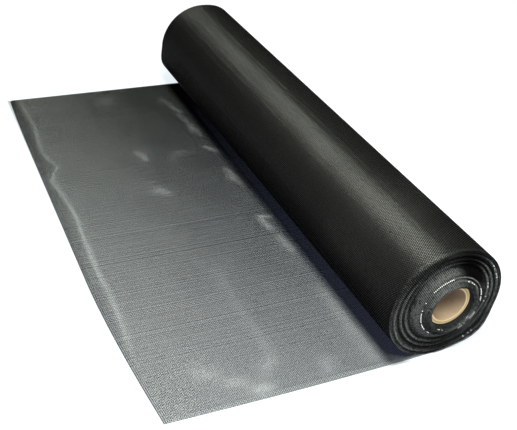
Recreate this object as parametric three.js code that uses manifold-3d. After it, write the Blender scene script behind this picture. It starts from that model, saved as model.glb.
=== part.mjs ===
// A roll of insect screen on a cardboard tube, with its loose end lying flat beside it.
// Millimetres, +Z up. The roll lies along Y, the middle of its flat spot is the origin,
// and the loose end runs out towards -X. The near end is the one at -Y.

import * as THREE from 'three';
import { mergeVertices } from 'three/addons/utils/BufferGeometryUtils.js';
import Module from 'manifold-3d';

const wasm = await Module();
wasm.setup();

// Driving dimensions
const CLOTH_WIDTH = 914;
const ROLL_RADIUS = 86;
const FLAT_DEPTH = 0.5;
const TUBE_RADIUS = 31.5;
const TUBE_WALL = 6;
const TUBE_PUSH = 4;
const SHEET_REACH = 405;
const SHEET_THICKNESS = 1.2;
const CLEARANCE = 0.3;

// Steps of the round and of the sheet's grid, which is finer beside the free edge by a power
const ROUND_STEPS = 72;
const SHEET_STEPS_ACROSS = 22;
const SHEET_STEPS_ALONG = 40;
const SHEET_STEP_POWER = 1.6;
const MERGE_TOLERANCE = 1e-3;

// Edges of the turns at the near end, from the outermost turn inwards. Every turn is as wide
// as the cloth, so a turn that stands out by its push here is sunk by as much at the far end.
const TURN_EDGES = [
  { radius: ROLL_RADIUS, push: 0 },
  { radius: 82.5, push: -0.5 },
  { radius: 81, push: -2 },
  { radius: 79, push: 1 },
  { radius: 75.5, push: -0.5 },
  { radius: 74, push: -5.5 },
  { radius: 72.5, push: -5.5 },
  { radius: 71, push: 0 },
  { radius: 69, push: -0.5 },
  { radius: 67.5, push: -4.5 },
  { radius: 66, push: -4.5 },
  { radius: 64.5, push: 0 },
  { radius: 62.5, push: -0.5 },
  { radius: 61, push: -4 },
  { radius: 59.5, push: -4 },
  { radius: 57, push: 0 },
  { radius: 46.5, push: 8 },
  { radius: 44.5, push: 4.5 },
  { radius: 37.5, push: 14 },
  { radius: TUBE_RADIUS + CLEARANCE, push: 12 },
];

// Slack in the outer turns, which hang out a little at each end: the directions in which they do,
// in degrees from +X towards +Z, how many degrees each spreads to either side, and how deep it is
const SLACK = {
  near: [
    { angle: -43, halfWidth: 32, depth: 9 },
    { angle: 15, halfWidth: 70, depth: 2 },
  ],
  far: [
    { angle: -158, halfWidth: 24, depth: 5.5 },
    { angle: 63, halfWidth: 27, depth: 2.4 },
  ],
};
const SLACK_FROM_RADIUS = 62;

// The core lies off the roll's middle. Turns inside the first radius move with it, and those outside
// the second don't.
const CORE_OFFSET = { x: 3.5, z: 1, withinRadius: 60, beyondRadius: 86 };

// The free edge is cut a little askew: how far it is drawn in at each corner,
// and where along Y that starts
const NEAR_CORNER = { start: -160, drawnIn: 18.5, power: 1.7 };
const FAR_CORNER = { start: 250, drawnIn: 3, power: 2 };
const FAR_SELVEDGE_DRAWN_IN = 4;
const NEAR_SELVEDGE_BOW = 2.4;

// The loose end stands off the floor in shallow waves, and comes down to it over some distance
// inside its free edge and both selvedges, and where the roll's foot begins
const STAND = { height: 1.9, over: 5, rollFoot: -58, roll: 20 };
const WAVE = { share: 0.12, x: 110, y: 190 };

const screenMaterial = new THREE.MeshStandardMaterial({ color: 0x222426, roughness: 0.5, metalness: 0 });
const looseMaterial = new THREE.MeshStandardMaterial({ color: 0x4a4f50, roughness: 0.5, metalness: 0 });
const cardboardMaterial = new THREE.MeshStandardMaterial({ color: 0xc7a878, roughness: 0.9, metalness: 0 });

const rollCentreHeight = ROLL_RADIUS - FLAT_DEPTH;
const nearSelvedge = -CLOTH_WIDTH / 2;
const farSelvedge = CLOTH_WIDTH / 2;

function lathe(profile) {
  const points = profile.map(([radius, along]) => new THREE.Vector2(radius, along));
  points.push(points[0].clone());
  return new THREE.LatheGeometry(points, ROUND_STEPS);
}

function toManifold(geometry) {
  const bare = geometry.clone();
  bare.deleteAttribute('normal');
  bare.deleteAttribute('uv');
  const merged = mergeVertices(bare, MERGE_TOLERANCE);
  const vertProperties = new Float32Array(merged.attributes.position.array);
  const triVerts = new Uint32Array(merged.index.array);
  return new wasm.Manifold(new wasm.Mesh({ numProp: 3, vertProperties, triVerts }));
}

function toGeometry(manifold) {
  const { vertProperties, triVerts } = manifold.getMesh();
  const geometry = new THREE.BufferGeometry();
  geometry.setAttribute('position', new THREE.BufferAttribute(vertProperties, 3));
  geometry.setIndex(new THREE.BufferAttribute(triVerts, 1));
  geometry.computeVertexNormals();
  return geometry;
}

// How much of the core's offset a turn of some radius shares: all of it at the core, none outside
function offsetShare(radius) {
  return 1 - THREE.MathUtils.smoothstep(radius, CORE_OFFSET.withinRadius, CORE_OFFSET.beyondRadius);
}

// How far the turns of some radius hang out in a direction, at the end with these rows of slack
function slackDepth(rows, angle, radius) {
  const share = THREE.MathUtils.smoothstep(radius, SLACK_FROM_RADIUS, ROLL_RADIUS);
  return rows.reduce((depth, row) => {
    const off = Math.abs(THREE.MathUtils.euclideanModulo(angle - row.angle + 180, 360) - 180);
    const hang = Math.cos((Math.PI / 2) * Math.min(off / row.halfWidth, 1)) ** 2;
    return depth + share * row.depth * hang;
  }, 0);
}

// Lets the outer turns hang out by the slack of their end, and moves the inner ones with the core
function settleTurns(geometry) {
  const position = geometry.attributes.position;
  for (let i = 0; i < position.count; i += 1) {
    const x = position.getX(i);
    const z = position.getZ(i);
    const radius = Math.hypot(x, z);
    const rows = position.getY(i) < 0 ? SLACK.near : SLACK.far;
    const angle = THREE.MathUtils.radToDeg(Math.atan2(z, x));
    const stretch = 1 + slackDepth(rows, angle, radius) / radius;
    const share = offsetShare(radius);
    position.setX(i, x * stretch + share * CORE_OFFSET.x);
    position.setZ(i, z * stretch + share * CORE_OFFSET.z);
  }
}

// The wound cloth: the turns' edges at both ends, the bore for the tube, and the flat spot
function screenRoll() {
  const farRows = TURN_EDGES.map(({ radius, push }) => [radius, farSelvedge - push]);
  const nearRows = TURN_EDGES.map(({ radius, push }) => [radius, nearSelvedge - push]);
  const wound = lathe([...farRows, ...nearRows.reverse()]);
  settleTurns(wound);
  wound.translate(0, 0, rollCentreHeight);
  const floor = new THREE.BoxGeometry(4 * ROLL_RADIUS, 2 * CLOTH_WIDTH, ROLL_RADIUS);
  floor.translate(0, 0, -ROLL_RADIUS / 2);
  const settled = toManifold(wound).subtract(toManifold(floor));
  return new THREE.Mesh(toGeometry(settled), screenMaterial);
}

// The cardboard tube, which stands out a little at the near end and sits a little off the roll's middle
function coreTube() {
  const inner = TUBE_RADIUS - TUBE_WALL;
  const near = nearSelvedge - TUBE_PUSH;
  const far = farSelvedge - TUBE_PUSH;
  const tube = lathe([[TUBE_RADIUS, near], [TUBE_RADIUS, far], [inner, far], [inner, near]]);
  tube.translate(CORE_OFFSET.x, 0, rollCentreHeight + CORE_OFFSET.z);
  return new THREE.Mesh(tube, cardboardMaterial);
}

// Where the free edge lies at a place along Y
function freeEdge(along) {
  const nearShare = Math.max(0, (NEAR_CORNER.start - along) / (NEAR_CORNER.start - nearSelvedge));
  const farShare = Math.max(0, (along - FAR_CORNER.start) / (farSelvedge - FAR_CORNER.start));
  const nearIn = NEAR_CORNER.drawnIn * nearShare ** NEAR_CORNER.power;
  const farIn = FAR_CORNER.drawnIn * farShare ** FAR_CORNER.power;
  return -SHEET_REACH + nearIn + farIn;
}

// Where the sheet comes out from under the roll, clear of it by the clearance
function rollSideEdge() {
  const drop = rollCentreHeight - SHEET_THICKNESS - CLEARANCE;
  return -Math.sqrt(ROLL_RADIUS ** 2 - drop ** 2);
}

// How high the sheet is lifted off the floor at a point
function lift(x, y) {
  const waves = Math.sin(2 * Math.PI * x / WAVE.x) * Math.sin(2 * Math.PI * y / WAVE.y + 1);
  const rises = [
    THREE.MathUtils.smoothstep(x - freeEdge(y), 0, STAND.over),
    THREE.MathUtils.smoothstep(y - nearSelvedge, 0, STAND.over),
    THREE.MathUtils.smoothstep(farSelvedge - y, 0, STAND.over),
    THREE.MathUtils.smoothstep(STAND.rollFoot - x, 0, STAND.roll),
  ];
  return rises.reduce((height, share) => height * share, STAND.height * (1 + WAVE.share * waves));
}

// The loose end: a thin sheet, as thick as the cloth where its threads cross, with finer steps
// beside its free edge
function looseEnd() {
  const sheet = new THREE.BoxGeometry(1, 1, 1, SHEET_STEPS_ACROSS, SHEET_STEPS_ALONG, 1);
  const position = sheet.attributes.position;
  for (let i = 0; i < position.count; i += 1) {
    const across = (position.getX(i) + 0.5) ** SHEET_STEP_POWER;
    const near = nearSelvedge - NEAR_SELVEDGE_BOW * Math.sin(Math.PI * across);
    const far = farSelvedge - FAR_SELVEDGE_DRAWN_IN * (1 - across);
    const y = THREE.MathUtils.lerp(near, far, position.getY(i) + 0.5);
    const x = THREE.MathUtils.lerp(freeEdge(y), rollSideEdge(), across);
    position.setXYZ(i, x, y, lift(x, y) + SHEET_THICKNESS * (position.getZ(i) + 0.5));
  }
  sheet.computeVertexNormals();
  return new THREE.Mesh(sheet, looseMaterial);
}

const parts = {
  screen_roll: screenRoll(),
  loose_end: looseEnd(),
  core_tube: coreTube(),
};

const roll = new THREE.Group();
for (const [name, mesh] of Object.entries(parts)) {
  mesh.name = name;
  roll.add(mesh);
}

export default roll;
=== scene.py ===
# %% [markdown]
# # A roll of insect screen
# The object is one long piece of black netting, woven from coated yarn and wound on a cardboard tube.
# Its last stretch lies flat on the floor beside the roll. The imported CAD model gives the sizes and
# places, and this lesson adds what it leaves out: every thread of the net, the edges of the wound
# turns, the tube's paper and the finish of each.

import math

import bmesh
import bpy
import numpy as np
from mathutils import Matrix, Vector


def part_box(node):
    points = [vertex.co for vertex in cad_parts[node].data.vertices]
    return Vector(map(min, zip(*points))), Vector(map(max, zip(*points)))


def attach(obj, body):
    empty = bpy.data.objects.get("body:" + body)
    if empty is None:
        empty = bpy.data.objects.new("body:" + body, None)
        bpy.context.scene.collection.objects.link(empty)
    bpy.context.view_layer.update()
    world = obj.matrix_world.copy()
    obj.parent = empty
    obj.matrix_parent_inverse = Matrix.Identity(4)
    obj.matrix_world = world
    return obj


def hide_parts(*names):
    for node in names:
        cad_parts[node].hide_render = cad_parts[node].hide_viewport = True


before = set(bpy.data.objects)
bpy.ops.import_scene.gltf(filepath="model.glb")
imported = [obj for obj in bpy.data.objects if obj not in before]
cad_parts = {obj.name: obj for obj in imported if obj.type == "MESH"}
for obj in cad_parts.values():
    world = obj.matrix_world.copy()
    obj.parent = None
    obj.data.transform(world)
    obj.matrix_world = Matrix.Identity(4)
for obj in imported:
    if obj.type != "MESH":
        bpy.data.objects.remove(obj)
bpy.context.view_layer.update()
print("nodes:", sorted(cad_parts))

# %% [markdown]
# ## Sizes
# The frame already knows how big everything is. Its sizes could be typed in again, but two copies drift
# apart, so the script measures the CAD nodes and keeps only a few sizes of its own: the yarn, and how
# far apart its threads lie. Long threads, the warp, run round the roll and out along the loose end.
# Cross threads, the weft, run along the roll from one edge of the cloth to the other. The turns lie
# just so far apart that each takes two weft threads fewer than the one outside it.

# %% Sizes from the frame and of the weave
tube_low, tube_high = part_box("core_tube")
sheet_low, sheet_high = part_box("loose_end")
roll_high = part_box("screen_roll")[1]

FLAT_DEPTH = 0.0005
ROLL_RADIUS = (roll_high[2] + FLAT_DEPTH) / 2
AXIS_HEIGHT = ROLL_RADIUS - FLAT_DEPTH
TUBE_RADIUS = (tube_high[0] - tube_low[0]) / 2
CORE_X = (tube_low[0] + tube_high[0]) / 2
CORE_Z = (tube_low[2] + tube_high[2]) / 2
FAR_EDGE = sheet_high[1]
NEAR_EDGE = -FAR_EDGE
FREE_EDGE = sheet_low[0]
ROLL_SIDE = sheet_high[0]

YARN = 0.00072
WARP_STEP = 0.00159
WEFT_STEP = 0.002536
TURN_STEP = WEFT_STEP / math.pi

CLOTH_WIDTH = FAR_EDGE - NEAR_EDGE
LOOSE_LENGTH = ROLL_SIDE - FREE_EDGE
print(f"roll radius {ROLL_RADIUS:.4f}, cloth width {CLOTH_WIDTH:.3f}, loose end {LOOSE_LENGTH:.3f}")

# %% [markdown]
# ## Camera
# The camera stands where the photo was taken from: above and to the left of the near end, tipped a
# little to one side. It could be aimed at a point with a constraint, but that leaves no room for the
# tip. Its turn is built from three plain turns instead: first about its own line of sight, then down,
# then round.

# %% Camera
CAMERA_PLACE = Vector((-0.6261, -1.1246, 0.7662))
CAMERA_HEADING = math.radians(26.93)
CAMERA_DROP = math.radians(32.95)
CAMERA_TIP = math.radians(5.49)
CAMERA_LENS = 58.7
CAMERA_SENSOR = 36

camera = bpy.data.objects.new("camera", bpy.data.cameras.new("camera"))
camera.data.lens = CAMERA_LENS
camera.data.sensor_width = CAMERA_SENSOR
tip = Matrix.Rotation(CAMERA_TIP, 4, "Z")
drop = Matrix.Rotation(math.pi / 2 - CAMERA_DROP, 4, "X")
heading = Matrix.Rotation(-CAMERA_HEADING, 4, "Z")
camera.matrix_world = Matrix.Translation(CAMERA_PLACE) @ heading @ drop @ tip
bpy.context.collection.objects.link(camera)
bpy.context.scene.camera = camera
print("camera at", tuple(round(x, 3) for x in camera.location))

# %% [markdown]
# ## Floor and lights
# The photo is a studio shot: a white floor that fills the frame, and one long soft lamp above the roll,
# nearer to its near end. A bright sky all round would be quicker to set up. But the roll is black, so
# what shows of its form is mostly the reflection of that one lamp, a band along the top, and the
# surroundings are kept dim. A weak lamp in front fills the near end, and a narrow spot lights the
# inside of the tube. The floor is a single square, so wide that its far edge only shows from low down,
# as a horizon.

# %% Floor
FLOOR_SIZE = 200.0


def make_object(shape, name):
    """Turns a bmesh shape into an object in the scene."""
    mesh = bpy.data.meshes.new(name)
    shape.to_mesh(mesh)
    shape.free()
    mesh.shade_smooth()
    piece = bpy.data.objects.new(name, mesh)
    bpy.context.collection.objects.link(piece)
    print(name, "has", len(mesh.polygons), "faces")
    return piece


def make_floor():
    shape = bmesh.new()
    bmesh.ops.create_grid(shape, x_segments=1, y_segments=1, size=FLOOR_SIZE / 2)
    return make_object(shape, "floor")


floor = make_floor()

# %% Lights
SURROUNDINGS = (0.70, 0.80, 1.0, 1)
SURROUNDINGS_STRENGTH = 0.10


def add_lamp(name, kind, place, power, aim=None, **settings):
    """A lamp that faces a point, or straight down, with the rest of its settings by name."""
    lamp = bpy.data.lights.new(name, kind)
    lamp.energy = power
    for setting, value in settings.items():
        setattr(lamp, setting, value)
    stand = bpy.data.objects.new(name, lamp)
    stand.location = place
    if aim:
        stand.rotation_euler = (Vector(aim) - Vector(place)).to_track_quat("-Z", "Y").to_euler()
    bpy.context.collection.objects.link(stand)


add_lamp(
    "long_softbox",
    "AREA",
    place=(-0.28, -0.60, 1.2),
    power=104,
    shape="RECTANGLE",
    size=0.34,
    size_y=1.3,
    color=(0.95, 1.0, 0.87),
)
add_lamp(
    "front_fill",
    "AREA",
    place=(0.03, -1.7, 0.3),
    power=12,
    aim=(0.03, NEAR_EDGE, 0.1),
    shape="RECTANGLE",
    size=0.5,
    size_y=0.5,
    color=(1.0, 1.0, 0.97),
)
add_lamp(
    "core_spot",
    "SPOT",
    place=(-0.75, -1.37, 0.50),
    power=26,
    aim=(CORE_X, NEAR_EDGE, CORE_Z),
    spot_size=math.radians(4.5),
    spot_blend=0.6,
    shadow_soft_size=0.06,
)

world = bpy.data.worlds.new("studio")
world.use_nodes = True
world.node_tree.nodes["Background"].inputs["Color"].default_value = SURROUNDINGS
world.node_tree.nodes["Background"].inputs["Strength"].default_value = SURROUNDINGS_STRENGTH
bpy.context.scene.world = world
bpy.context.scene.view_settings.view_transform = "Standard"
print(f"floor {FLOOR_SIZE:.0f} m wide, two softboxes and a spot")

# %% [markdown]
# ## Writing materials as sums
# A material is a tree of nodes. It could be wired node by node, but then the sum that it works out is
# hard to see. So one small class stands for a value in that tree: adding or multiplying two of them
# adds a Math node. Every other kind of node comes from one method, which takes the node's settings and
# what goes into its sockets. Two short functions start a material and feed its shader.

# %% The class for shader values


class Value:
    """A socket in a material's node tree, or the tree itself where there is no socket yet."""

    def __init__(self, tree, socket=None):
        self.tree = tree
        self.socket = socket

    def node(self, kind, settings=None, inputs=None, output=0):
        made = self.tree.nodes.new(kind)
        for name, setting in (settings or {}).items():
            setattr(made, name, setting)
        for name, value in (inputs or {}).items():
            if isinstance(value, Value):
                self.tree.links.new(value.socket, made.inputs[name])
            else:
                made.inputs[name].default_value = value
        return Value(self.tree, made.outputs[output])

    def math(self, operation, *values):
        return self.node("ShaderNodeMath", {"operation": operation}, dict(enumerate(values)))

    def __add__(self, other):
        return self.math("ADD", self, other)

    def __radd__(self, other):
        return self.math("ADD", other, self)

    def __sub__(self, other):
        return self.math("SUBTRACT", self, other)

    def __rsub__(self, other):
        return self.math("SUBTRACT", other, self)

    def __mul__(self, other):
        return self.math("MULTIPLY", self, other)

    def __rmul__(self, other):
        return self.math("MULTIPLY", other, self)

    def __truediv__(self, other):
        return self.math("DIVIDE", self, other)

    def sine(self):
        return self.math("SINE", self)

    def clamp(self):
        return self.node("ShaderNodeClamp", inputs={"Value": self})

    def noise(self, scale, detail):
        inputs = {"Vector": self, "Scale": scale, "Detail": detail}
        return self.node("ShaderNodeTexNoise", inputs=inputs)

    def split(self, axis):
        return self.node("ShaderNodeSeparateXYZ", inputs={"Vector": self}, output=axis)

    def mix(self, low, high):
        inputs = {"Factor": self, "A": low, "B": high}
        return self.node("ShaderNodeMix", {"data_type": "RGBA"}, inputs, output="Result")


def new_material(name):
    """An empty material, with its first value and its shader."""
    material = bpy.data.materials.new(name)
    material.use_nodes = True
    tree = material.node_tree
    return material, Value(tree), tree.nodes["Principled BSDF"]


def feed(start, shader, **inputs):
    """Sets or links the shader's sockets, named with _ for a space."""
    for name, value in inputs.items():
        socket = shader.inputs[name.replace("_", " ")]
        if isinstance(value, Value):
            start.tree.links.new(value.socket, socket)
        else:
            socket.default_value = value


print("shader values ready")

# %% [markdown]
# ## The floor's finish
# White studio paper over a light table, very slightly cloudy and cool. Round the object it glows enough
# to stay white to the edge of the picture and to lift the shadow. Under the cloth the light only spills
# in from the near side and from beyond the free edge, so the net, which lets it through, is lightest
# there. Lamps under a sheet of glass could do that, but slowly and with noise, so the glow is worked
# out from the place on the floor. The glow paints shade as well: it stops short of the roll's foot, a
# painted shadow of the roll with only a dim bluish glow in it, and it is weaker beside the cloth's free
# and near edges, a painted shade where the cloth comes down to the floor. A table gives the four sides
# of what the object covers: the axis, the way out, where the side is, and how soon it is bright.

# %% Floor material
SIDES = [
    (0, -1, FREE_EDGE, 0.004),
    (0, 1, -0.01, 0.06),
    (1, -1, sheet_low[1], 0.004),
    (1, 1, FAR_EDGE, 0.004),
]
FOOT = {"from_x": -0.05, "over_x": 0.02, "from_y": NEAR_EDGE + 0.006, "over_y": 0.006}
GLOW_ROUND = 0.86
GLOW_AWAY = {"from": 0.4, "over": 1.0, "light": 0.3}
SPILL_NEAR = {"over": 0.6, "light": 0.56}
SPILL_FREE = {"from_x": -0.125, "over": 0.25, "light": 0.30}
# Painted shadow of the roll: the glow under the cloth stops beside the roll's foot.
PAINTED_ROLL_SHADOW = {"at_x": -0.063, "over": 0.014}
# Painted shade: less glow where the cloth comes down to the floor at its free and near edges.
PAINTED_RIM_SHADE = {"free": 0.02, "near": 0.012, "less": 0.4}
CLOUD_SCALE = 1.5
CLOUD_DETAIL = 2
PAPER_TONES = ((0.104, 0.109, 0.115, 1), (0.116, 0.122, 0.128, 1))
# The darker tone is the dim bluish glow left in the painted shadows.
GLOW_TONES = ((0.06, 0.07, 0.11, 1), (0.91, 0.97, 1.0, 1))


def spill_under_cloth(x, y):
    """The light that gets in under the loose end, painted as glow: none in a painted shadow beside the
    roll's foot, and less, a painted shade, beside the cloth's rims, where it lies close to the floor.
    """
    near = (1 - (y - NEAR_EDGE) / SPILL_NEAR["over"]).clamp() * SPILL_NEAR["light"]
    free = ((SPILL_FREE["from_x"] - x) / SPILL_FREE["over"]).clamp() * SPILL_FREE["light"]
    beside = ((PAINTED_ROLL_SHADOW["at_x"] - x) / PAINTED_ROLL_SHADOW["over"]).clamp()
    free_rim = 1 - (x - FREE_EDGE) / PAINTED_RIM_SHADE["free"]
    near_rim = 1 - (y - NEAR_EDGE) / PAINTED_RIM_SHADE["near"]
    down = x.math("MAXIMUM", free_rim, near_rim).clamp()
    return (near + free - near * free) * beside * (1 - down * PAINTED_RIM_SHADE["less"])


def outside_object(place):
    """1 on the floor round the object and 0 under it."""
    foot_x = ((place.split(0) - FOOT["from_x"]) / FOOT["over_x"]).clamp()
    outside = foot_x * ((FOOT["from_y"] - place.split(1)) / FOOT["over_y"]).clamp()
    for axis, way, side, over in SIDES:
        beyond = ((place.split(axis) - side) * (way / over)).clamp()
        outside = place.math("MAXIMUM", outside, beyond)
    return outside


def studio_white():
    material, start, shader = new_material("studio_white")
    place = start.node("ShaderNodeTexCoord", output="Object")
    x, y = place.split(0), place.split(1)
    spill = spill_under_cloth(x, y)
    away = (start.math("SQRT", x * x + y * y) - GLOW_AWAY["from"]) / GLOW_AWAY["over"]
    all_round = GLOW_ROUND + away.clamp() * GLOW_AWAY["light"]
    glow = spill + (all_round - spill) * outside_object(place)
    paper = place.noise(CLOUD_SCALE, CLOUD_DETAIL).mix(*PAPER_TONES)
    light = glow.clamp().mix(*GLOW_TONES)
    feed(start, shader, Base_Color=paper, Roughness=0.9, Emission_Color=light, Emission_Strength=1.0)
    return material


floor.data.materials.append(studio_white())
print("floor finished")

# %% [markdown]
# ## The yarn's finish
# Each thread is yarn coated in black vinyl: nearly black, with a soft shine. In a plain weave a thread
# goes over one crossing and under the next, so its shine comes and goes along it. The threads could be
# bent over each other for real, but that takes many times the points. So they stay straight, and the
# finish does the weaving. Every thread carries a UV map in metres of flat cloth, along and across, and
# a number that is 1 on warp and -1 on weft. From those three the crown of each crossing is one product
# of sines. It feeds a Bump node, and it mixes a shiny shader with a matt one; the crowns that shine are
# also painted a little lighter, a painted sheen as well as rubbing. A second number says how pale and
# grey the thread is: partly bent and rubbed vinyl, partly painted light laid on by the tables below.

# %% Yarn material
COATED = (0.0009, 0.00094, 0.0009, 1)
# Painted sheen as well as wear: the tone of the crowns that shine.
RUBBED_AND_SHEEN = (0.006, 0.0059, 0.0053, 1)
# Pale grey both for rubbed vinyl and for painted light.
SCUFFED_AND_LIT = (0.096, 0.1, 0.104, 1)
CROWN = {"height": 0.00014, "gain": 2.2, "less": 0.45}
UNEVEN = {"scale": 260, "detail": 1, "gain": 2.5, "less": 0.25}
BLOTCH = {"scale": 14, "detail": 4, "gain": 0.8, "least": 0.6}
SPECKS = {"scale": 340, "detail": 1, "gain": 3.0, "less": 0.5}
GRAIN = {"scale": 900, "detail": 2, "gain": 0.1, "least": 0.25}
SHINE = {"all": 0.7, "warp": 0.3}
RUB_AND_SHEEN = {"all": 0.55, "warp": 0.45}


def crossing_crowns(start, kind):
    cloth = start.node("ShaderNodeUVMap", {"uv_map": "cloth"})
    along = (cloth.split(0) * (math.pi / WEFT_STEP)).sine()
    across = (cloth.split(1) * (math.pi / WARP_STEP)).sine()
    return kind * along * across


def shine(crown, kind, place):
    """How much a thread shines, from 0 to 1: on its crowns, and more on warp than on weft."""
    uneven = UNEVEN["gain"] * place.noise(UNEVEN["scale"], UNEVEN["detail"]) - UNEVEN["less"]
    on_crown = crown * CROWN["gain"] - CROWN["less"]
    return (on_crown * uneven * (SHINE["all"] + SHINE["warp"] * kind)).clamp()


# The crowns that shine are painted a little lighter, the warp more than the weft: a painted sheen as well as
# rubbing.
def yarn_colour(on_top, kind, scuffed, place):
    blotch = BLOTCH["least"] + BLOTCH["gain"] * place.noise(BLOTCH["scale"], BLOTCH["detail"])
    rubbed_and_sheen = (on_top * (RUB_AND_SHEEN["all"] + RUB_AND_SHEEN["warp"] * kind) * blotch).clamp()
    specks = SPECKS["gain"] * place.noise(SPECKS["scale"], SPECKS["detail"]) - SPECKS["less"]
    return (scuffed * specks).clamp().mix(rubbed_and_sheen.mix(COATED, RUBBED_AND_SHEEN), SCUFFED_AND_LIT)


def black_yarn():
    material, start, shiny = new_material("black_yarn")
    place = start.node("ShaderNodeTexCoord", output="Object")
    kind = start.node("ShaderNodeAttribute", {"attribute_name": "kind"}, output="Fac")
    scuffed = start.node("ShaderNodeAttribute", {"attribute_name": "scuff"}, output="Fac").clamp()
    crown = crossing_crowns(start, kind)
    on_top = shine(crown, kind, place)
    colour = yarn_colour(on_top, kind, scuffed, place)
    rough = GRAIN["least"] + GRAIN["gain"] * place.noise(GRAIN["scale"], GRAIN["detail"])
    relief = {"Strength": 1.0, "Distance": CROWN["height"], "Height": crown}
    bump = start.node("ShaderNodeBump", inputs=relief)
    feed(start, shiny, Base_Color=colour, Roughness=rough, Specular_IOR_Level=0.95, Normal=bump)
    matt = start.tree.nodes.new("ShaderNodeBsdfPrincipled")
    feed(start, matt, Base_Color=colour, Roughness=0.8, Specular_IOR_Level=0.02, Normal=bump)
    low, high = (Value(start.tree, layer.outputs[0]) for layer in (matt, shiny))
    both = start.node("ShaderNodeMixShader", inputs={0: on_top, 1: low, 2: high})
    start.tree.links.new(both.socket, start.tree.nodes["Material Output"].inputs["Surface"])
    return material


YARN_FINISH = black_yarn()
print("yarn finish", YARN_FINISH.name)

# %% [markdown]
# ## Threads as joined meshes
# The net has thousands of threads, and all are the same thing: a thin prism along a path. Curves with a
# bevel could make them, but slowly, and without the flat cloth's UV map. So one function takes the
# paths of many threads as one array, puts a ring of points round each path point and joins the rings. A
# small class collects them and makes one object, with its UV map and the two numbers that the finish
# reads.

# %% Threads from paths
WARP, WEFT, CUT_END = 1, -1, 0
THREAD_RADIUS = 0.58 * YARN


def unit(vectors):
    return vectors / np.linalg.norm(vectors, axis=-1, keepdims=True)


def thread_rings(paths, ups, radius, sides):
    """Rings of points round each path: an array of threads, steps, sides and coordinates."""
    ahead = np.gradient(paths, axis=1)
    aside = unit(np.cross(ahead, ups))
    turn = 2 * math.pi * (np.arange(sides) + (sides % 2 == 0) / 2) / sides
    out = np.cos(turn)[:, None] * ups[:, :, None] + np.sin(turn)[:, None] * aside[:, :, None]
    return paths[:, :, None] + radius * out


def thread_faces(threads, steps, sides, first):
    """The side faces and end caps of those rings, as lists of point numbers."""
    number = first + np.arange(threads * steps * sides).reshape(threads, steps, sides)
    here, there = number[:, :-1], number[:, 1:]
    around = np.stack([here, np.roll(here, -1, 2), np.roll(there, -1, 2), there], -1)
    caps = np.concatenate([number[:, 0, ::-1], number[:, -1]])
    return around.reshape(-1, 4).tolist() + caps.tolist()


class Threads:
    """Collects threads, then makes one object of them."""

    def __init__(self):
        self.points = []
        self.faces = []
        self.cloth = []
        self.kind = []
        self.scuff = []
        self.count = 0

    def add(self, paths, ups, cloth, kind, scuff=0.0, sides=3, radius=THREAD_RADIUS):
        rings = thread_rings(paths, ups, radius, sides)
        self.faces += thread_faces(*rings.shape[:3], self.count)
        self.points.append(rings.reshape(-1, 3))
        self.cloth.append(np.repeat(cloth.reshape(-1, 2), sides, axis=0))
        self.kind.append(np.full(rings[..., 0].size, float(kind)))
        self.scuff.append(np.repeat(np.broadcast_to(scuff, paths.shape[:2]).ravel(), sides))
        self.count += rings[..., 0].size

    def make(self, name, material):
        mesh = bpy.data.meshes.new(name)
        mesh.from_pydata(np.concatenate(self.points), [], self.faces)
        corner_point = np.empty(len(mesh.loops), np.int32)
        mesh.loops.foreach_get("vertex_index", corner_point)
        flat = np.concatenate(self.cloth)[corner_point]
        mesh.uv_layers.new(name="cloth").uv.foreach_set("vector", flat.ravel().astype(np.float32))
        for number, values in (("kind", self.kind), ("scuff", self.scuff)):
            attribute = mesh.attributes.new(number, "FLOAT", "POINT")
            attribute.data.foreach_set("value", np.concatenate(values).astype(np.float32))
        mesh.shade_smooth()
        mesh.materials.append(material)
        piece = bpy.data.objects.new(name, mesh)
        bpy.context.collection.objects.link(piece)
        mesh.calc_loop_triangles()
        print(name, "has", len(mesh.loop_triangles), "triangles")
        return piece


print("threads are", round(THREAD_RADIUS * 2000, 2), "mm across")

# %% [markdown]
# ## Where the warp threads lie
# The warp threads lie side by side across the cloth. They could be spaced evenly, but no weave is so
# exact, and even threads seen at a slant draw large bands of light and dark. So each one is moved aside
# at random, by as much as a table gives for its distance from the near edge, and some are a little
# paler than others.

# %% Places of the warp threads
SEED = 7
WARP_WANDER = np.array(
    [(0, 0), (0.06, 0.00004), (0.12, 0.00015), (0.30, 0.00015), (0.45, 0.00008), (0.70, 0.00003)],
    dtype=[("at", float), ("by", float)],
)
LOOSE_SCUFF = 0.02

rng = np.random.default_rng(SEED)
warps = np.arange(WARP_STEP / 2, CLOTH_WIDTH, WARP_STEP)
wander = np.interp(warps, WARP_WANDER["at"], WARP_WANDER["by"])
warps = warps + wander * rng.normal(0, 1, len(warps))
warp_streak = LOOSE_SCUFF * rng.uniform(0, 2, len(warps))
print(len(warps), "warp threads")

# %% [markdown]
# ## How the loose end lies
# The cloth still remembers being rolled, so it stands a millimetre or two off the floor, in shallow
# waves, and comes down at its edges and at the foot of the roll. A crease wanders a couple of
# centimetres inside the free edge, from an earlier fold. A cloth simulation could find a shape like
# that, but not this very crease, so tables give it: the crease's line, with how much painted light lies
# along it where the cloth touches the floor, and patches of painted light elsewhere, each a short line
# with a width. Functions turn them into a height and an amount of painted light for any point.

# %% The outline, the crease and the scuffs
NEAR_CORNER = {"start": -0.160, "drawn_in": 0.0185, "power": 1.7}
FAR_CORNER = {"start": 0.250, "drawn_in": 0.003, "power": 2}
FAR_DRAWN_IN = 0.004
NEAR_BOW = 0.0024

# The bright line along the crease is painted light, where the cloth touches the floor.
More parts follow.
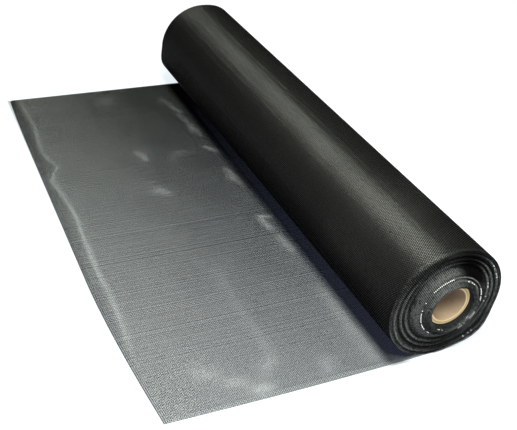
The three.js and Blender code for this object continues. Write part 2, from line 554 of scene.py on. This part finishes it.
CREASE = np.array(
    [(-0.457, -0.392, 0), (-0.370, -0.392, 0), (-0.345, -0.391, 0.15), (-0.320, -0.388, 0.4),
     (-0.260, -0.384, 0.6), (-0.200, -0.3825, 0.65), (-0.130, -0.385, 0.65), (-0.060, -0.3835, 0.6),
     (0, -0.3795, 0.6), (0.030, -0.381, 0.65), (0.060, -0.383, 0.4), (0.090, -0.387, 0.55),
     (0.124, -0.393, 0.5), (0.150, -0.384, 0.55), (0.172, -0.373, 0.35), (0.200, -0.381, 0.35),
     (0.230, -0.387, 0.3), (0.270, -0.385, 0.45), (0.300, -0.382, 0.3), (0.330, -0.380, 0.25),
     (0.380, -0.383, 0.25), (0.430, -0.384, 0.2), (0.457, -0.385, 0.15)],
    dtype=[("along", float), ("x", float), ("scuff", float)],
)
CREASE_TO_EDGE = 0.002
CREASE_TO_ROLL = 0.0055
# Patches of painted light where the cloth touches the floor.
PAINTED_LIGHT_PATCHES = np.array(
    [(-0.222, 0.182, -0.214, 0.153, 0.006, 0.45), (-0.168, 0.143, -0.152, 0.164, 0.008, 0.11),
     (-0.226, 0.046, -0.218, 0.036, 0.009, 0.5), (-0.216, 0.412, -0.222, 0.400, 0.012, 0.2),
     (-0.108, 0.385, -0.100, 0.355, 0.006, 0.2), (-0.100, 0.345, -0.091, 0.322, 0.004, 0.4),
     (-0.098, 0.312, -0.092, 0.275, 0.005, 0.25), (-0.090, 0.262, -0.096, 0.236, 0.005, 0.35),
     (-0.084, 0.245, -0.088, 0.215, 0.004, 0.25), (-0.094, 0.171, -0.079, 0.151, 0.005, 0.4),
     (-0.088, 0.081, -0.083, 0.050, 0.006, 0.4), (-0.094, 0.055, -0.080, 0.028, 0.005, 0.3),
     (-0.094, -0.078, -0.074, -0.083, 0.004, 0.7), (-0.094, -0.085, -0.090, -0.115, 0.005, 0.6),
     (-0.086, -0.145, -0.082, -0.180, 0.007, 0.4), (-0.084, -0.290, -0.084, -0.440, 0.011, 0.3),
     (-0.328, -0.382, -0.250, -0.446, 0.007, 0.65), (-0.250, -0.446, -0.222, -0.400, 0.007, 0.5),
     (-0.214, -0.400, -0.220, -0.190, 0.007, 0.22), (-0.155, -0.440, -0.150, -0.425, 0.010, 0.4),
     (-0.152, 0.164, -0.128, 0.160, 0.008, 0.08)],
    dtype=[(name, float) for name in ("from_x", "from_y", "to_x", "to_y", "width", "scuff")],
)
# Painted light: on the roll's side of the crease the yarn is lighter towards the free edge, the more so
# further back.
PAINTED_FAR_LIGHT = {"far": 0.22, "from_x": -0.2, "over": 0.012}
STAND = {"height": 0.0019, "over": 0.005, "roll_foot": -0.058, "roll": 0.020}
WAVE = {"share": 0.12, "x": 0.11, "y": 0.19, "ahead": 1}
print("a crease through", len(CREASE), "points and", len(PAINTED_LIGHT_PATCHES), "scuffs")

# %% The shape of the loose end


def bell(distance, width):
    return np.exp(-((distance / width) ** 2))


def eased(distance, over):
    """0 at no distance and 1 beyond the given one, eased between."""
    share = np.clip(distance / over, 0, 1)
    return share**2 * (3 - 2 * share)


def crease(y, column):
    after = np.clip(np.searchsorted(CREASE["along"], y), 1, len(CREASE) - 1)
    low, high = CREASE[after - 1], CREASE[after]
    share = eased(y - low["along"], high["along"] - low["along"])
    return low[column] + share * (high[column] - low[column])


def free_edge(y):
    near = np.clip((NEAR_CORNER["start"] - y) / (NEAR_CORNER["start"] - NEAR_EDGE), 0, 1)
    far = np.clip((y - FAR_CORNER["start"]) / (FAR_EDGE - FAR_CORNER["start"]), 0, 1)
    near_in = NEAR_CORNER["drawn_in"] * near ** NEAR_CORNER["power"]
    return FREE_EDGE + near_in + FAR_CORNER["drawn_in"] * far ** FAR_CORNER["power"]


def line_distance(line, x, y):
    run = np.array([line["to_x"] - line["from_x"], line["to_y"] - line["from_y"]])
    off = np.stack([x - line["from_x"], y - line["from_y"]], -1)
    share = np.clip(off @ run / (run @ run), 0, 1)
    return np.linalg.norm(off - share[..., None] * run, axis=-1)


def lift(x, y):
    """How high the cloth stands off the floor."""
    waves = np.sin(2 * math.pi * x / WAVE["x"]) * np.sin(2 * math.pi * y / WAVE["y"] + WAVE["ahead"])
    height = 1 + WAVE["share"] * waves
    for inside in (x - free_edge(y), y - NEAR_EDGE, FAR_EDGE - y):
        height = height * eased(inside, STAND["over"])
    return STAND["height"] * height * eased(STAND["roll_foot"] - x, STAND["roll"])


def scuff(x, y):
    """How much painted light lies on the yarn, from 0 to 1: along the crease, in the patches and towards the
    free edge further back.
    """
    aside = x - crease(y, "x")
    found = crease(y, "scuff") * bell(aside, np.where(aside < 0, CREASE_TO_EDGE, CREASE_TO_ROLL))
    for line in PAINTED_LIGHT_PATCHES:
        found = found + line["scuff"] * bell(line_distance(line, x, y), line["width"])
    # Painted light, lighter towards the free edge and further back.
    far_light = PAINTED_FAR_LIGHT["far"] * (y - NEAR_EDGE) / CLOTH_WIDTH * eased(aside + PAINTED_FAR_LIGHT["over"], PAINTED_FAR_LIGHT["over"])
    return found + far_light * np.clip((PAINTED_FAR_LIGHT["from_x"] - x) / (PAINTED_FAR_LIGHT["from_x"] - FREE_EDGE), 0, 1)


def on_loose_end(across, along):
    """Points of the cloth: across is 0 at the free edge and 1 at the roll, along 0 to 1 from near to far."""
    near = NEAR_EDGE - NEAR_BOW * np.sin(math.pi * across)
    far = FAR_EDGE - FAR_DRAWN_IN * (1 - across)
    y = near + (far - near) * along
    x = free_edge(y) + (ROLL_SIDE - free_edge(y)) * across
    return np.stack([x, y, lift(x, y) + YARN / 2], -1)


print("the cloth stands about", STAND["height"] * 1000, "mm off the floor")

# %% [markdown]
# ## The loose end's net
# Warp threads come from the roll and end at the free edge. Weft threads run from selvedge to selvedge.
# A picture of a net on a flat sheet would be lighter, but from close by the holes and the thickness of
# the threads show, so every thread is real. A thread needs more steps where the cloth bends or is
# scuffed, so the stations along it are closer at the crease, at the other scuffs and at the foot of the
# roll.

# %% The net of the loose end
STATIONS_ACROSS = np.concatenate(
    [[0, 0.0015, 0.003, 0.005, 0.008], np.arange(0.011, 0.041, 0.0029),
     [0.047, 0.06, 0.085, 0.115, 0.145], np.arange(0.170, 0.265, 0.0095), [0.280, 0.294],
     np.arange(0.301, 0.338, 0.006), [0.346, 0.36, LOOSE_LENGTH]]
)
EVEN_STATIONS = 27
LIGHT_PATCHES_AT = (-0.42, -0.083, 0.04, 0.165)
ROUND_LIGHT_PATCH = np.arange(-0.018, 0.019, 0.009)
STATIONS_ALONG = np.unique(
    np.concatenate(
        [[0.0015, 0.003, 0.005, CLOTH_WIDTH - 0.005, CLOTH_WIDTH - 0.003]]
        + [np.linspace(0, CLOTH_WIDTH, EVEN_STATIONS)]
        + [y - NEAR_EDGE + ROUND_LIGHT_PATCH for y in LIGHT_PATCHES_AT]
    )
)
UP = np.array([0, 0, 1.0])


def loose_net():
    net = Threads()
    across, along = np.meshgrid(STATIONS_ACROSS / LOOSE_LENGTH, warps / CLOTH_WIDTH)
    paths = on_loose_end(across, along)
    flat = np.stack(np.broadcast_arrays(STATIONS_ACROSS, warps[:, None]), -1)
    scuffed = scuff(paths[..., 0], paths[..., 1]) + warp_streak[:, None]
    net.add(paths, np.broadcast_to(UP, paths.shape), flat, WARP, scuffed)
    wefts = np.arange(WEFT_STEP / 2, LOOSE_LENGTH, WEFT_STEP)
    along, across = np.meshgrid(STATIONS_ALONG / CLOTH_WIDTH, wefts / LOOSE_LENGTH)
    paths = on_loose_end(across, along)
    flat = np.stack([across * LOOSE_LENGTH, along * CLOTH_WIDTH], -1)
    scuffed = scuff(paths[..., 0], paths[..., 1]) + LOOSE_SCUFF
    net.add(paths, np.broadcast_to(UP, paths.shape), flat, WEFT, scuffed)
    return net.make("loose_net", YARN_FINISH)


loose = loose_net()
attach(loose, "root")
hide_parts("loose_end")

# %% [markdown]
# ## How the roll is wound
# Seen from its end the cloth is a spiral. It comes in along the floor, turns up on the right side, over
# the top and down the left, and each turn lies one step inside the last. Separate rings would look much
# the same, but only a spiral runs on into the loose end without a seam. The core sits a little off the
# middle, and the outer turns hang slack at each end, which a table gives by angle. The edges of the
# turns don't line up: the inner ones have slid out towards the near end, like a telescope, and every
# turn wanders a little on its own.

# %% The spiral and the edges of its turns
TURN_EDGES = np.array(
    [(0.0318, 0.012), (0.0375, 0.014), (0.0445, 0.0045), (0.0465, 0.008), (0.057, 0), (0.0595, -0.004),
     (0.061, -0.004), (0.0625, -0.0005), (0.0645, 0), (0.066, -0.0045), (0.0675, -0.0045), (0.069, -0.0005),
     (0.071, 0), (0.0725, -0.0055), (0.074, -0.0055), (0.0755, -0.0005), (0.079, 0.001), (0.081, -0.002),
     (0.0825, -0.0005), (0.086, 0)],
    dtype=[("radius", float), ("push", float)],
)
SLACK = np.array(
    [(0, -43, 32, 0.009), (0, 15, 70, 0.002), (1, -158, 24, 0.0055), (1, 63, 27, 0.0024)],
    dtype=[("far", float), ("angle", float), ("half_width", float), ("depth", float)],
)
SLACK_FROM = 0.062
CORE_WITHIN = 0.060
CORE_BEYOND = 0.086
WANDER = 0.0004
EDGE_WAVES = {"share": 0.4, "slow": 0.83, "quick": 1.71}

INNER_RADIUS = TUBE_RADIUS + YARN
TURNS = (ROLL_RADIUS - YARN / 2 - INNER_RADIUS) / TURN_STEP
turn_shift = rng.normal(0, WANDER, int(TURNS) + 2)


def spiral_radius(wound):
    """The radius after winding in by an angle from the bottom of the roll."""
    return ROLL_RADIUS - YARN / 2 - TURN_STEP * wound / (2 * math.pi)


def slack(radius, angle, y):
    """How far the outermost turns hang out."""
    far = np.clip((y - NEAR_EDGE) / CLOTH_WIDTH, 0, 1)
    depth = 0
    for row in SLACK:
        off = np.abs((np.degrees(angle) - row["angle"] + 180) % 360 - 180)
        hang = row["depth"] * np.cos(math.pi / 2 * np.minimum(off / row["half_width"], 1)) ** 2
        depth = depth + hang * (1 - np.abs(far - row["far"]))
    return depth * eased(radius - SLACK_FROM, ROLL_RADIUS - SLACK_FROM)


def settle(radius, angle, y):
    """Points of turns with these radii, after the slack, the core's offset and the floor have moved them."""
    core = 1 - eased(radius - CORE_WITHIN, CORE_BEYOND - CORE_WITHIN)
    radius = radius + slack(radius, angle, y)
    x = radius * np.cos(angle) + core * CORE_X
    z = radius * np.sin(angle) + core * (CORE_Z - AXIS_HEIGHT) + AXIS_HEIGHT
    return np.stack(np.broadcast_arrays(x, y, np.maximum(z, YARN / 2)), -1)


def on_spiral(wound, y):
    """Points of the wound cloth, and the directions that point straight out of the roll there."""
    angle = wound - math.pi / 2
    out = np.stack([np.cos(angle), np.zeros_like(angle), np.sin(angle)], -1)
    return settle(spiral_radius(wound), angle, y), out


def push(wound):
    """How far a turn's edge stands out towards the near end."""
    known = np.interp(spiral_radius(wound), TURN_EDGES["radius"], TURN_EDGES["push"])
    shift = np.interp(wound / (2 * math.pi), np.arange(len(turn_shift)), turn_shift)
    waves = np.sin(EDGE_WAVES["slow"] * wound) + np.sin(EDGE_WAVES["quick"] * wound)
    return known + shift + EDGE_WAVES["share"] * WANDER * waves


print(f"{TURNS:.1f} turns")

# %% [markdown]
# ## The outermost turn
# The turn that shows is made of real threads as well, from where the loose end runs in under the roll
# to the place where the next turn begins. A smooth drum with a bump map would be lighter, but its
# outline would be smooth too. The threads have three sides with one edge outwards, which is enough for
# a thread under a millimetre thick and keeps the piece small.

# %% The net of the outermost turn
TURN_POINTS = 50
WEFT_POINTS = 5


def outer_net():
    net = Threads()
    wound, y = np.meshgrid(np.linspace(0, 2 * math.pi, TURN_POINTS + 1), NEAR_EDGE + warps)
    paths, ups = on_spiral(wound, y)
    start = paths[:, :1] + [ROLL_SIDE, 0, 0]
    paths = np.concatenate([start, paths], 1)
    ups = np.concatenate([ups[:, :1], ups], 1)
    length = LOOSE_LENGTH + np.concatenate([[0], wound[0] * ROLL_RADIUS - ROLL_SIDE])
    flat = np.stack(np.broadcast_arrays(length, warps[:, None]), -1)
    net.add(paths, ups, flat, WARP)
    wefts = np.arange(WEFT_STEP / 2, 2 * math.pi * ROLL_RADIUS, WEFT_STEP)
    y, wound = np.meshgrid(np.linspace(NEAR_EDGE, FAR_EDGE, WEFT_POINTS), wefts / ROLL_RADIUS)
    paths, ups = on_spiral(wound, y)
    flat = np.stack([wound * ROLL_RADIUS + LOOSE_LENGTH - ROLL_SIDE, y - NEAR_EDGE], -1)
    net.add(paths, ups, flat, WEFT)
    return net.make("outer_turn", YARN_FINISH)


outer = outer_net()
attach(outer, "root")
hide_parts("screen_roll")

# %% [markdown]
# ## The turns underneath
# Below the outermost turn and behind the edges lie the other turns, packed so tightly that they show
# only as a dark body. Nets for all of them would be millions of faces that nobody sees. So a profile of
# the roll, a little smaller than the real one, is spun about the axis. Then its points are moved like
# the turns themselves, and the outside follows the spiral just under the threads.

# %% The body of inner turns
BODY_STEPS = 96
BODY_BELOW = 0.4 * YARN
END_DEPTH = 0.003
WELD = 1e-6


def closed_profile(points):
    """A new shape: one closed line through these points."""
    shape = bmesh.new()
    ring = [shape.verts.new(point) for point in points]
    for pair in zip(ring, ring[1:] + ring[:1]):
        shape.edges.new(pair)
    return shape


def spin_profile(shape, middle, steps):
    """Spins a profile all the way round a line along Y."""
    bmesh.ops.spin(
        shape,
        geom=shape.verts[:] + shape.edges[:],
        cent=middle,
        axis=(0, 1, 0),
        angle=2 * math.pi,
        steps=steps,
        use_merge=True,
    )
    bmesh.ops.remove_doubles(shape, verts=shape.verts, dist=WELD)
    bmesh.ops.recalc_face_normals(shape, faces=shape.faces)


def packed_turns():
    radii = np.clip(TURN_EDGES["radius"], INNER_RADIUS, ROLL_RADIUS)
    near = [(r, NEAR_EDGE - p + END_DEPTH, 0) for r, p in zip(radii, TURN_EDGES["push"])]
    far = [(r, FAR_EDGE - p - END_DEPTH, 0) for r, p in zip(radii, TURN_EDGES["push"])]
    shape = closed_profile(near + far[::-1])
    spin_profile(shape, (0, 0, 0), BODY_STEPS)
    x, y, z = np.array([vert.co for vert in shape.verts]).T
    radius, angle = np.hypot(x, z), np.arctan2(z, x)
    wound = (angle + math.pi / 2) % (2 * math.pi)
    radius = np.minimum(radius, spiral_radius(wound) - BODY_BELOW)
    for vert, place in zip(shape.verts, settle(radius, angle, y)):
        vert.co = place
    return make_object(shape, "inner_turns")


body = packed_turns()

# %% The finish of the inner turns
MOTTLE = {"scale": 400, "detail": 3, "threads": 0.25}
PACKED_TONES = ((0.002, 0.002, 0.0022, 1), (0.008, 0.0083, 0.0086, 1))


def packed_finish():
    """Black cloth seen between the threads above it, darker than the yarn on top."""
    material, start, shader = new_material("packed_screen")
    place = start.node("ShaderNodeTexCoord", output="Object")
    threads = (place.split(1) * (2 * math.pi / WARP_STEP)).sine()
    mottle = place.noise(MOTTLE["scale"], MOTTLE["detail"])
    dark = (MOTTLE["threads"] * threads + mottle).clamp().mix(*PACKED_TONES)
    feed(start, shader, Base_Color=dark, Roughness=0.75, Specular_IOR_Level=0.1)
    return material


body.data.materials.append(packed_finish())
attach(body, "root")
print("inner turns finished")

# %% [markdown]
# ## The edges of the turns
# At both ends the cut ends of the weft threads stick out past the last warp thread, in every turn. They
# are what gives the end of the roll its dotted rings. A picture of rings could stand for them, but the
# steps between the turns catch the light, so each end is a stub of its own. The stubs are set out along
# the spiral one weft step apart, and the last warp thread of each edge is a single thread that follows
# the spiral all the way in. A table says where the cut ends look pale: about a radius and an angle,
# each with a spread. That paleness is partly the pale fibre of the cut ends and partly painted light
# and shade: a broad band on the upper left, towards the lamp, is painted lighter, and the upper right
# is painted darker.

# %% The stubs' places and where they are pale
STUB = 0.007
LAST_WARP = 0.0010
SPIRAL_STEPS = 44
SPIRAL_SAMPLES = 4000
PALE_LENGTH = 0.0012
PALE_ALONG = [1, 0.6, 0.1]
PALE_ANYWHERE = 0.28
PALE_UNEVEN = (0.5, 1.5)
WARP_PALE = 0.15
STUB_POINTS = np.array([0, PALE_LENGTH, STUB])
# Pale fibre and painted light and shade: the broad band on the upper left, towards the lamp, is painted
# lighter, and the two rows with a negative amount paint the upper right darker.
PALE = np.array(
    [(0.052, 0.0050, 118, 26, 3.4), (0.051, 0.0045, 185, 45, 0.8), (0.050, 0.0040, 235, 25, 0.9),
     (0.052, 0.0060, -30, 45, 0.1), (0.0635, 0.0010, 115, 22, 1.5), (0.0635, 0.0010, 215, 40, 1.3),
     (0.0635, 0.0010, -20, 35, 1.8), (0.0635, 0.0010, 20, 22, 1.8), (0.070, 0.0010, 190, 50, 1.2),
     (0.070, 0.0010, -40, 35, 1.2), (0.070, 0.0010, 25, 25, 1.6), (0.066, 0.0030, -46, 9, 2.6),
     (0.0785, 0.0010, 15, 28, 2.6), (0.0785, 0.0012, 205, 40, 1.5), (0.0785, 0.0010, -45, 25, 1.0),
     (0.084, 0.0012, 115, 18, 1.0), (0.084, 0.0010, 220, 40, 0.6), (0.038, 0.0050, 125, 32, 3.0),
     (0.040, 0.0050, -45, 30, 3.2), (0.054, 0.0070, 50, 40, -0.3), (0.066, 0.0300, 68, 32, -0.3),
     (0.0465, 0.0006, 62, 28, 5.0), (0.042, 0.0006, 60, 28, 4.0), (0.0378, 0.0006, -40, 40, 3.0)],
    dtype=[(name, float) for name in ("radius", "width", "angle", "spread", "scuff")],
)

spiral_wound = np.linspace(0, 2 * math.pi * TURNS, SPIRAL_SAMPLES)
spiral_length = spiral_wound * (spiral_radius(spiral_wound) + spiral_radius(0)) / 2
weft_length = np.arange(WEFT_STEP / 2, spiral_length[-1], WEFT_STEP)
weft_wound = np.interp(weft_length, spiral_length, spiral_wound)
print(len(weft_wound), "stubs at each end, with", len(PALE), "rows of paleness")

# %% Stubs of weft and the last warp thread


def spiral_degrees(wound):
    """The direction from the roll's axis, in degrees from +X towards +Z."""
    return np.degrees(wound - math.pi / 2)


def paleness(wound):
    """How pale the cut ends are at these places."""
    radius = spiral_radius(wound)
    found = np.zeros_like(wound)
    for row in PALE:
        off = (spiral_degrees(wound) - row["angle"] + 180) % 360 - 180
        found += row["scuff"] * bell(off, row["spread"]) * bell(radius - row["radius"], row["width"])
    return found


def edge_piece(name, finish, wound, y, **settings):
    """One piece made of threads at these places of the wound cloth."""
    paths, ups = on_spiral(wound, y)
    length = np.interp(wound, spiral_wound, spiral_length)
    ends = Threads()
    ends.add(paths, ups, np.stack([length, y - NEAR_EDGE], -1), CUT_END, **settings)
    piece = ends.make(name, finish)
    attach(piece, "root")


def turn_edges(name, edge, inward):
    """The stubs of weft, with their pale tips."""
    wound = np.repeat(weft_wound[:, None], len(STUB_POINTS), 1)
    y = edge - push(wound) + inward * STUB_POINTS
    pale = (PALE_ANYWHERE + paleness(weft_wound)) * rng.uniform(*PALE_UNEVEN, len(weft_wound))
    pale = np.maximum(pale, 0)[:, None] * PALE_ALONG
    edge_piece(name, YARN_FINISH, wound, y, scuff=pale, sides=4)


def edge_warp(name, edge, inward):
    """The warp thread nearest to the edge, all the way along the spiral."""
    wound = np.linspace(0, 2 * math.pi * TURNS, int(TURNS * SPIRAL_STEPS))[None]
    y = edge - push(wound) + inward * LAST_WARP
    edge_piece(name, YARN_FINISH, wound, y, scuff=WARP_PALE * paleness(wound))


turn_edges("near_turn_edges", NEAR_EDGE, 1)
edge_warp("near_edge_warp", NEAR_EDGE, 1)
turn_edges("far_turn_edges", FAR_EDGE, -1)
edge_warp("far_edge_warp", FAR_EDGE, -1)

# %% [markdown]
# ## Bare fibre
# Where a cut end has lost its coating the pale fibre inside shows. At the near end that draws a nearly
# white line along the edge that stands out most on the cone, and dotted arcs elsewhere. Scuffed yarn
# could be made paler, but a coating never looks like fibre, so each bare end is a short sleeve over a
# stub's tip with a finish of its own. A table says in which turns and over which angles, how many of
# the ends there are bare, and how far those stand out.

# %% The finish of bare fibre
BARE_GRAIN = {"scale": 1200, "detail": 2}
BARE_TONES = ((0.45, 0.45, 0.46, 1), (0.85, 0.85, 0.84, 1))


def bare_fibre():
    material, start, shader = new_material("bare_fibre")
    place = start.node("ShaderNodeTexCoord", output="Object")
    pale = place.noise(BARE_GRAIN["scale"], BARE_GRAIN["detail"]).mix(*BARE_TONES)
    feed(start, shader, Base_Color=pale, Roughness=0.6)
    return material


BARE_FINISH = bare_fibre()
print("bare fibre's finish", BARE_FINISH.name)

# %% Bare ends
BARE = np.array(
    [(0.0465, 0.0004, 84, 100, 0.35, 0.0002), (0.0465, 0.0004, 100, 134, 0.95, 0.0002),
     (0.0465, 0.0004, 134, 182, 0.50, 0.0002), (0.0465, 0.0004, 182, 220, 0.95, 0.0002),
     (0.0465, 0.0004, 220, 240, 0.25, 0.0002), (0.0465, 0.0004, 296, 346, 0.55, 0.0010),
     (0.0465, 0.0004, 354, 386, 0.85, 0.0004), (0.0420, 0.0004, 42, 80, 0.12, 0.0002),
     (0.0345, 0.0004, 235, 300, 0.30, 0.0006), (0.0345, 0.0004, 314, 328, 0.60, 0.0006),
     (0.0640, 0.0004, 344, 357, 0.50, 0.0006), (0.0640, 0.0004, 3, 26, 0.55, 0.0004),
     (0.0785, 0.0004, 18, 38, 0.60, 0.0004), (0.0770, 0.0008, 303, 316, 0.45, 0.0008)],
    dtype=[(name, float) for name in ("radius", "half_width", "from_angle", "to_angle", "share", "out")],
)
BARE_LENGTH = 0.0012
BARE_RADIUS = 0.7 * YARN


def bare_at(wound):
    """How many of the ends at these places are bare, from 0 to 1, and how far those stand out."""
    radius = spiral_radius(wound)
    share, out = np.zeros((2, *wound.shape))
    for row in BARE:
        turned = (spiral_degrees(wound) - row["from_angle"]) % 360
        within = turned <= row["to_angle"] - row["from_angle"]
        here = within & (np.abs(radius - row["radius"]) < row["half_width"])
        share[here] = row["share"]
        out[here] = row["out"]
    return share, out


def bare_ends(name, edge, inward):
    share, out = bare_at(weft_wound)
    bare = rng.random(len(weft_wound)) < share
    wound = np.repeat(weft_wound[bare, None], 2, 1)
    reach = np.stack([-out[bare], np.full(bare.sum(), BARE_LENGTH)], 1)
    y = edge - push(wound) + inward * reach
    edge_piece(name, BARE_FINISH, wound, y, sides=4, radius=BARE_RADIUS)


bare_ends("near_bare_ends", NEAR_EDGE, 1)
bare_ends("far_bare_ends", FAR_EDGE, -1)

# %% [markdown]
# ## The cardboard tube
# The tube is wound from strips of brown paper, glued in a spiral. It could be a cylinder with a hole
# cut through it, but a spun profile is cleaner: a rectangle whose corners are bevelled a little,
# because a saw leaves them soft. The saw cut at each end gets a finish of its own. It is yellower than
# the paper's face, shows the plies as fine rings, and has a dark line of glue about halfway through the
# wall.

# %% The tube
TUBE_WALL = 0.006
TUBE_STEPS = 96
RIM_ROUND = 0.0006
RIM_SEGMENTS = 3
FACES_AN_END = 0.5


def tube_shape():
    inner = TUBE_RADIUS - TUBE_WALL
    near, far = tube_low[1], tube_high[1]
    corners = [(TUBE_RADIUS, near), (TUBE_RADIUS, far), (inner, far), (inner, near)]
    shape = closed_profile([(CORE_X + r, y, CORE_Z) for r, y in corners])
    bmesh.ops.bevel(
        shape,
        geom=shape.verts[:],
        offset=RIM_ROUND,
        segments=RIM_SEGMENTS,
        profile=0.5,
        affect="VERTICES",
        material=-1,
    )
    spin_profile(shape, (CORE_X, 0, CORE_Z), TUBE_STEPS)
    for face in shape.faces:
        face.material_index = int(abs(face.normal.y) > FACES_AN_END)
    return make_object(shape, "cardboard_tube")


tube = tube_shape()

# %% The tube's finishes
STRIP_PITCH = 0.075
SEAM_WIDTH = 0.0012
PAPER_FIBRE = {"scale": 260, "detail": 5, "share": 0.6}
PAPER_STAIN = {"scale": 30, "detail": 3, "share": 0.6}
PAPER_LESS = 0.1
SEAM_SHARE = 0.5
PAPER_RELIEF = {"Strength": 0.3, "Distance": 0.0003}
BROWN_TONES = ((0.124, 0.0860, 0.0570, 1), (0.266, 0.186, 0.124, 1))
PLY = 0.0010
GLUE_RADIUS = 0.0284
GLUE_WIDTH = 0.0012
CUT_FIBRE = {"scale": 500, "detail": 4, "share": 0.9}
PLY_SHARE = 0.4
GLUE_SHARE = 0.9
CUT_RELIEF = {"Strength": 0.4, "Distance": 0.0002}
TAN_TONES = ((0.190, 0.134, 0.068, 1), (0.400, 0.295, 0.172, 1))


def paper_face():
    """The paper, with a dark seam where one strip of the spiral meets the next."""
    material, start, shader = new_material("brown_paper")
    place = start.node("ShaderNodeTexCoord", output="Object")
    fibre = place.noise(PAPER_FIBRE["scale"], PAPER_FIBRE["detail"])
    stain = place.noise(PAPER_STAIN["scale"], PAPER_STAIN["detail"])
    around = start.math("ARCTAN2", place.split(2) - CORE_Z, place.split(0) - CORE_X) / (2 * math.pi)
    strip = start.math("FRACT", place.split(1) / STRIP_PITCH + around)
    seam = (1 - start.math("ABSOLUTE", strip - 0.5) * (STRIP_PITCH / SEAM_WIDTH)).clamp()
    paper = PAPER_FIBRE["share"] * fibre + PAPER_STAIN["share"] * stain - PAPER_LESS
    brown = (paper - SEAM_SHARE * seam).clamp().mix(*BROWN_TONES)
    bump = start.node("ShaderNodeBump", inputs={**PAPER_RELIEF, "Height": fibre - seam})
    feed(start, shader, Base_Color=brown, Roughness=0.85, Normal=bump)
    return material


def cut_plies():
    """The sawn end, with the plies as rings and the glue between them."""
    material, start, shader = new_material("cut_cardboard")
    place = start.node("ShaderNodeTexCoord", output="Object")
    across, up = place.split(0) - CORE_X, place.split(2) - CORE_Z
    radius = start.math("SQRT", across * across + up * up)
    ply = (radius * (2 * math.pi / PLY)).sine() * 0.5 + 0.5
    fibre = place.noise(CUT_FIBRE["scale"], CUT_FIBRE["detail"])
    glue = (1 - start.math("ABSOLUTE", radius - GLUE_RADIUS) / GLUE_WIDTH).clamp()
    plies = PLY_SHARE * ply + CUT_FIBRE["share"] * fibre
    tan = (plies - GLUE_SHARE * glue).clamp().mix(*TAN_TONES)
    bump = start.node("ShaderNodeBump", inputs={**CUT_RELIEF, "Height": ply + fibre})
    feed(start, shader, Base_Color=tan, Roughness=0.9, Normal=bump)
    return material


tube.data.materials.append(paper_face())
tube.data.materials.append(cut_plies())
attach(tube, "root")
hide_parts("core_tube")
print("tube finished")
